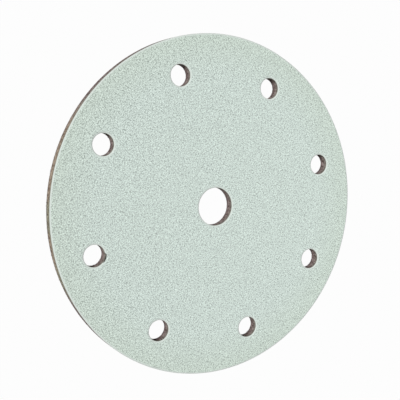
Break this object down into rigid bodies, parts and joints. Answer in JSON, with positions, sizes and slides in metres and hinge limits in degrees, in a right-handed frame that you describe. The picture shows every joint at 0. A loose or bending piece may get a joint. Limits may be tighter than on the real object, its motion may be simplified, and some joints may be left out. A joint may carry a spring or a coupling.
{
  "type": "hook and loop sanding disc",
  "caption": "Flat round sanding disc with a pale grain face on a foam cushion, a loop backing that grips a sander's pad, a centre hole and a ring of dust holes near the rim.",
  "frame": {"origin": "on the disc's axis, in the plane that the loops rest on", "axes": "+Z out of the grain face, +X from the axis through the middle of a dust hole"},
  "size_m": [0.152, 0.152, 0.0048],
  "materials": {
    "loop_fabric": "soft brushed knit",
    "foam": "matt open-cell foam",
    "coated_abrasive": "matt grain under a dry lubricant coat"
  },
  "bodies": {
    "root": {"loop_backing": "loop_fabric", "foam_cushion": "foam", "abrasive_sheet": "coated_abrasive"}
  },
  "joints": []
}
